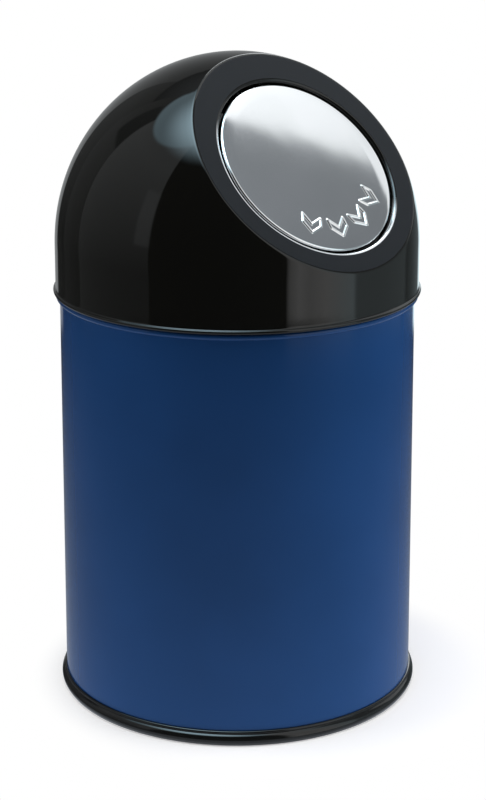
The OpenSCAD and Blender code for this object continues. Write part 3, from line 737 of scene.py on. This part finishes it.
def markHeight(x, y):
    best = marks["reach"]
    for k in range(marks["count"]):
        a = math.radians(marks["bearing"] + (k - (marks["count"] - 1) / 2) * marks["pitch"])
        along, aside = x * math.cos(a) + y * math.sin(a), -x * math.sin(a) + y * math.cos(a)
        p = Vector((aside, marks["ringR"] - along))
        if p.length > marks["reach"]:
            continue
        for u, v in sides:
            line = v - u
            q = min(1, max(0, (p - u).dot(line) / line.length_squared))
            best = min(best, (p - u - line * q).length)
    q = best / (marks["width"] / 2)
    return marks["raise"] * (0.5 + 0.5 * math.cos(math.pi * q)) if q < 1 else 0


# the mesh is fine where the marks are, and coarse elsewhere
halfSector = (marks["count"] - 1) / 2 * marks["pitch"] + 11
bearings, a = [], marks["bearing"] - halfSector
while a < marks["bearing"] + halfSector:
    bearings.append(a)
    a += marks["step"]
while a < marks["bearing"] - halfSector + 360 - 1:
    bearings.append(a)
    a += 2
radii = [3 * k for k in range(1, 11)] + [marks["inner"] + marks["step"] * k for k in range(53)]
radii += [47.2, 48, 48.8, 49.6, 50.3, 50.8, bendFrom]
bendTop = flapHeight(bendFrom) - flap["bendR"] * math.sin(math.radians(bendStart))
edge, bendC, sheet, foot = flap["edge"], flap["edge"] - flap["bendR"], flap["sheet"], -flap["rim"]
rimLine = arcPoints(bendC, bendTop, flap["bendR"], bendStart, 0, 9)[1:]
rimLine += [(edge, bendTop - 0.2), (edge, foot + 0.25), (edge - 0.07, foot + 0.07), (edge - 0.25, foot),
            (edge - 0.4, foot), (edge - 0.55, foot + 0.1), (edge - sheet, foot + 0.3),
            (edge - sheet, bendTop)]
rimLine += arcPoints(bendC, bendTop, flap["bendR"] - sheet, 12, bendStart, 5)
rimLine += [(r, flapHeight(r) - sheet) for r in (49, 46.5, 44, 30, 12)]
rings = [(r, flapHeight(r)) for r in radii] + rimLine
points, faces = [onFace(0, 0, flap["crown"] - flap["recess"])], []
for i, (r, n) in enumerate(rings):
    marked = i < len(radii) and marks["inner"] < r < marks["outer"]
    for b in bearings:
        x, s = r * math.cos(math.radians(b)), r * math.sin(math.radians(b))
        lift = markHeight(x, s) if marked else 0
        points.append(onFace(x, s, n + lift - flap["bow"] * s * s - flap["recess"]))
count = len(bearings)
faces += [(0, 1 + k, 1 + (k + 1) % count) for k in range(count)]
for i in range(len(rings) - 1):
    a, b = 1 + i * count, 1 + (i + 1) * count
    faces += [(a + k, b + k, b + (k + 1) % count, a + (k + 1) % count) for k in range(count)]
points.append(onFace(0, 0, flap["crown"] - flap["sheet"] - flap["recess"]))
last = 1 + (len(rings) - 1) * count
faces += [(last + k, len(points) - 1, last + (k + 1) % count) for k in range(count)]
makePiece("flapDisc", (points, faces), stainless, "flap", "stainless", "flap_disc")
print("flap made")


# hinge: a pin with chamfered ends, and the spring that twists between the lid and the flap
hinge = {"s": 45.1, "n": -12.0, "pin": 2.0, "end": 19.6, "chamfer": 0.5}
pinTurn = Matrix(((0, 0, 1, 0), (1, 0, 0, 0), (0, 1, 0, 0), (0, 0, 0, 1)))
pinPlace = Matrix.Translation(onFace(0, hinge["s"], hinge["n"])) @ pinTurn
radius, end, tip = hinge["pin"], hinge["end"], hinge["pin"] - hinge["chamfer"]
pinLine = [(0, -end), (tip, -end, 0.1), (radius, -end + hinge["chamfer"], 0.1),
           (radius, end - hinge["chamfer"], 0.1), (tip, end, 0.1), (0, end)]
makePiece("hingePin", spin(supported(softOutline(pinLine, False), False), False, 40, place=pinPlace),
          stainless, "lid", "stainless", "hinge_pin")

spring = {"coil": 3.4, "wire": 0.55, "half": 8.5, "turns": 10, "turnSteps": 30, "leg": 16.0,
          "under": -7.85, "bend": 1.2}
top = hinge["n"] + spring["coil"]
lipS = math.sqrt((lid["hole"] + lid["sheet"] / 2) ** 2 - spring["half"] ** 2)
startAngle = math.radians(90) - math.atan2(spring["under"] - top, spring["leg"])
endAngle = math.radians(90 - 360 * spring["turns"])
steps = spring["turnSteps"] * spring["turns"]
# a leg under the flap, the coil round the pin, and a leg up the inside of the lip
route = [(-spring["half"], hinge["s"] - spring["leg"], spring["under"]),
         (-spring["half"], hinge["s"] - spring["leg"] / 2, (spring["under"] + top) / 2)]
for k in range(steps + 1):
    q = k / steps
    a = startAngle + (endAngle - startAngle) * q
    route.append((spring["half"] * (2 * q - 1), hinge["s"] + spring["coil"] * math.cos(a),
                  hinge["n"] + spring["coil"] * math.sin(a)))
route += [(spring["half"], x, y) for x, y in
          arcPoints(lipS - spring["bend"], top + spring["bend"], spring["bend"], -90, 0, 8)]
route.append((spring["half"], lipS, -lid["lip"] - 0.3))
springPiece = makePiece("flapSpring", tube([onFace(*p) for p in route], [spring["wire"]] * len(route), 12),
                        springSteel, None, "spring_wire", "flap_spring")
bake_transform(springPiece)

# rubber buffers under the flat face
buffers = {"angles": (-90, -25, 205), "ringR": 60.6, "radius": 2.5, "foot": -6.6, "flange": 1.6,
           "waist": 0.35, "top": -1.1}
radius, foot, top, flange = buffers["radius"], buffers["foot"], buffers["top"], buffers["flange"]
bufferLine = [(0, foot), (radius, foot, 0.2), (radius, foot + flange, 0.2),
              (radius - buffers["waist"], foot + flange + 0.6, 0.4), (radius - 0.2, top - 1.0, 0.6),
              (radius - 0.9, top, 0.6), (0, top)]
lean = Matrix.Rotation(face["tilt"], 4, "X")
pads = []
for angle in buffers["angles"]:
    a = math.radians(angle)
    spot = Matrix.Translation(onFace(buffers["ringR"] * math.cos(a), buffers["ringR"] * math.sin(a), 0))
    pads.append(spin(supported(softOutline(bufferLine, False), False, 0.1), False, 36, place=spot @ lean))
makePiece("flapBuffers", joined(*pads), bufferRubber, "flap", "buffer_rubber", "flap_buffers")

# the CAD nodes that stay get their finishes
carried = {"bail_ear_left": zincSheet, "bail_ear_right": zincSheet, "hinge_bracket_left": blackEnamel,
           "hinge_bracket_right": blackEnamel, "pin_clips": zincWire, "flap_back_plate": blackEnamel,
           "flap_lug_left": zincSheet, "flap_lug_right": zincSheet, "lug_rivets": zincWire,
           "hinge_bushes": blackPlastic}
for name, material in carried.items():
    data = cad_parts[name].data
    data.materials.clear()
    data.materials.append(material)
print("hinge made")


# studio: even light for matt surfaces, walls and panels for glossy ones, white behind the object
world = bpy.data.worlds.new("studio")
scene.world = world
world.use_nodes = True
world.cycles.sampling_method = "NONE"
tree = world.node_tree
background = tree.nodes["Background"]
direction = addNode(tree, "ShaderNodeTexCoord").outputs["Generated"]
axes = addNode(tree, "ShaderNodeSeparateXYZ", {0: direction}).outputs
azimuth = calc(tree, "MULTIPLY", calc(tree, "ARCTAN2", axes[0], calc(tree, "MULTIPLY", axes[1], -1.0)),
               180 / math.pi)
elevation = calc(tree, "MULTIPLY", calc(tree, "ARCSINE", axes[2]), 180 / math.pi)

# brightness of the studio's walls by azimuth, in degrees from the object's front
walls = [(-180, 0.02), (-12.5, 0.02), (-10.5, 0.7), (-4, 1.05), (3, 0.86), (14, 1.02), (34, 0.95), (37, 0.42),
         (60, 0.3), (86, 0.19), (90, 0.08), (117, 0.18), (119.5, 1.2), (131.5, 1.2), (134, 0.05), (180, 0.05)]
ramp = addNode(tree, "ShaderNodeValToRGB", {0: remap(tree, azimuth, -180, 180, smooth=False)})
stops = ramp.color_ramp.elements
while len(stops) > 1:
    stops.remove(stops[-1])
wallTints = {"from": 34, "before": (1, 1, 1), "after": (0.86, 1.04, 1.1)}
for i, (angle, value) in enumerate(walls):
    stop = stops[0] if i == 0 else stops.new((angle + 180) / 360)
    stop.position = (angle + 180) / 360
    tint = wallTints["after" if angle >= wallTints["from"] else "before"]
    stop.color = tuple(value * c for c in tint) + (1,)

panelGroup, pIn, pOut = newGroup("lightPanel", [("Azimuth", "Float", 0.0), ("Elevation", "Float", 0.0),
                                                ("AzLow", "Float", 0.0), ("AzHigh", "Float", 0.0),
                                                ("ElLow", "Float", 0.0), ("ElHigh", "Float", 0.0),
                                                ("Soft", "Float", 1.0)], [("Mask", "Float")])


def sideMask(value, low, high):
    up = remap(panelGroup, value, calc(panelGroup, "SUBTRACT", low, pIn["Soft"]),
               calc(panelGroup, "ADD", low, pIn["Soft"]))
    down = remap(panelGroup, value, calc(panelGroup, "SUBTRACT", high, pIn["Soft"]),
                 calc(panelGroup, "ADD", high, pIn["Soft"]), 1.0, 0.0)
    return calc(panelGroup, "MULTIPLY", up, down)


panelGroup.links.new(calc(panelGroup, "MULTIPLY", sideMask(pIn["Azimuth"], pIn["AzLow"], pIn["AzHigh"]),
                          sideMask(pIn["Elevation"], pIn["ElLow"], pIn["ElHigh"])), pOut["Mask"])

# each panel: its span in azimuth and elevation, and its brightness at two elevations
cool, plain = (0.92, 1.0, 1.07), (0.96, 1.0, 1.02)
panels = [
    {"az": (-158.3, -98.3), "el": (-90, 91), "levels": ((-12, 0.11), (42, 0.42)), "soft": 0.6, "tint": plain},
    {"az": (-109, -98.3), "el": (2, 30), "levels": ((2, 0.34), (20, 0.45)), "soft": 1.5, "tint": plain},
    {"az": (-182, -158.3), "el": (-90, 91), "levels": ((-12, 0.05), (26, 0.16)), "soft": 0.6, "tint": plain},
    {"az": (-172, -158.3), "el": (28, 50), "levels": ((28, 0.055), (50, 0.09)), "soft": 1.5, "tint": cool},
    {"az": (134, 163), "el": (-90, 91), "levels": ((0, 0.37), (37, 0.2)), "soft": 0.8, "tint": plain},
    {"az": (163, 182), "el": (-90, 91), "levels": ((-8, 0.03), (26, 0.14)), "soft": 0.8, "tint": plain},
    {"az": (134, 182), "el": (41, 91), "levels": ((42, 0.07), (58, 0.21)), "soft": 1.0, "tint": cool},
    {"az": (40, 69.62), "el": (14, 75), "levels": ((40, 0.2), (46, 0.24)), "soft": 0.35, "tint": cool},
    {"az": (69.62, 112), "el": (14, 75), "levels": ((40, 0.9), (46, 1.2)), "soft": 0.25, "tint": plain},
    {"az": (119, 134), "el": (6, 62), "levels": ((8, 2.0), (50, 6.0)), "soft": 1.5, "tint": plain}]
light = ramp.outputs[0]
for panel in panels:
    mask = useGroup(tree, panelGroup, {"Azimuth": azimuth, "Elevation": elevation, "AzLow": panel["az"][0],
                                       "AzHigh": panel["az"][1], "ElLow": panel["el"][0],
                                       "ElHigh": panel["el"][1], "Soft": panel["soft"]})["Mask"]
    (lowAt, low), (highAt, high) = panel["levels"]
    level = remap(tree, elevation, lowAt, highAt, low, high, smooth=False)
    shade = vectorCalc(tree, "SCALE", {0: panel["tint"], "Scale": level})
    light = blendColour(tree, mask, light, shade)

# two round ceiling lights behind the object: an even disc, and a brighter one that fades outward
ceiling = [{"az": -144.6, "el": 69.8, "inner": 20.0, "outer": 22.5, "value": 1.35},
           {"az": -105.0, "el": 78.0, "inner": 6.0, "outer": 29.5, "value": 7.0}]
ceilingTint = (0.72, 1.0, 1.14)
for lamp in ceiling:
    a, e = math.radians(lamp["az"]), math.radians(lamp["el"])
    middle = (math.cos(e) * math.sin(a), -math.cos(e) * math.cos(a), math.sin(e))
    near = vectorCalc(tree, "DOT_PRODUCT", {0: direction, 1: middle}, "Value")
    angle = calc(tree, "MULTIPLY", calc(tree, "ARCCOSINE", near), 180 / math.pi)
    mask = remap(tree, angle, lamp["inner"], lamp["outer"], 1.0, 0.0)
    light = blendColour(tree, mask, light, tuple(c * lamp["value"] for c in ceilingTint) + (1,))

# the pale floor as glossy surfaces see it, below the horizon
groundGlow = {"el": (-15.2, -27), "value": (0.03, 0.46), "edge": 0.3, "tint": (0.92, 1.0, 1.12)}
horizon = groundGlow["el"][0]
below = remap(tree, elevation, horizon + groundGlow["edge"], horizon - groundGlow["edge"])
glowLevel = remap(tree, elevation, *groundGlow["el"], *groundGlow["value"], smooth=False)
shade = vectorCalc(tree, "SCALE", {0: groundGlow["tint"], "Scale": glowLevel})
light = blendColour(tree, below, light, shade)

# glossy rays see the walls and panels, the camera sees white, and matt surfaces get an even light
evenLight = (0.09, 0.09, 0.092, 1)
rays = addNode(tree, "ShaderNodeLightPath").outputs
seen = calc(tree, "MAXIMUM", rays["Is Camera Ray"], rays["Is Transmission Ray"])
colour = blendColour(tree, rays["Is Glossy Ray"], evenLight, light)
colour = blendColour(tree, seen, colour, (1, 1, 1, 1))
tree.links.new(colour, background.inputs["Color"])

# lamps light the matt surfaces only
toCamera = Vector((stand.x, stand.y, 0)).normalized()
toRight = Vector((-toCamera.y, toCamera.x, 0))
lamps = {"rightPanel": {"side": 1.1, "front": 0.1, "up": 0.35, "size": 0.9, "power": 12.0},
         "leftPanel": {"side": -1.1, "front": 0.1, "up": 0.35, "size": 0.9, "power": 7.0},
         "topPanel": {"side": 0.05, "front": 0.1, "up": 1.3, "size": 1.0, "power": 11.0}}
lampAim = Vector((0, 0, 0.15))
for name, lamp in lamps.items():
    data = bpy.data.lights.new(name, "AREA")
    data.size, data.energy = lamp["size"], lamp["power"]
    panel = bpy.data.objects.new(name, data)
    scene.collection.objects.link(panel)
    panel.location = toRight * lamp["side"] + toCamera * lamp["front"] + Vector((0, 0, lamp["up"]))
    panel.rotation_euler = (lampAim - panel.location).to_track_quat("-Z", "Y").to_euler()
    panel.visible_glossy = False
    panel.visible_camera = False

# pale floor that keeps the object's shadow and fades into the white behind it
ground = {"half": 3.0, "fade": (0.106, 0.14), "shift": 0.019, "colour": (0.93, 0.93, 0.94, 1), "lift": 0.25,
          "floorGlow": 1.3, "floorGlowFade": (0.1, 0.33)}
floorMesh = bpy.data.meshes.new("studioFloor")
h = ground["half"]
floorMesh.from_pydata([(-h, -h, 0), (h, -h, 0), (h, h, 0), (-h, h, 0)], [], [(0, 1, 2, 3)])
studioFloor = bpy.data.objects.new("studioFloor", floorMesh)
scene.collection.objects.link(studioFloor)
floorPaint = bpy.data.materials.new("studioFloor")
floorPaint.use_nodes = True
tree = floorPaint.node_tree
tree.nodes.clear()
end = tree.nodes.new("ShaderNodeOutputMaterial")
matt = addNode(tree, "ShaderNodeBsdfDiffuse", {"Color": ground["colour"]}).outputs[0]
clear = tree.nodes.new("ShaderNodeBsdfTransparent").outputs[0]
rays = addNode(tree, "ShaderNodeLightPath").outputs
# the shadow reaches further to the right than to the left
spot = addNode(tree, "ShaderNodeTexCoord").outputs["Object"]
distance = vectorCalc(tree, "DISTANCE", {0: spot, 1: toRight * ground["shift"]}, "Value")
near = addShaders(tree, matt, addGlow(tree, ground["lift"]))
shown = mixShaders(tree, remap(tree, distance, *ground["fade"]), near, addGlow(tree, 1.0))
# near the object the floor glows for matt surfaces, a painted pool of light that lights the can from below,
# and glossy surfaces see past it
# painted light: the glow is strongest next to the can and gone at the fade's far end
floorGlow = remap(tree, distance, *ground["floorGlowFade"], ground["floorGlow"], 0.0)
glowingFloor = addShaders(tree, matt, addGlow(tree, floorGlow))
lit = mixShaders(tree, rays["Is Camera Ray"], glowingFloor, shown)
full = mixShaders(tree, rays["Is Glossy Ray"], lit, clear)
tree.links.new(full, end.inputs["Surface"])
floorMesh.materials.append(floorPaint)
print("studio made")
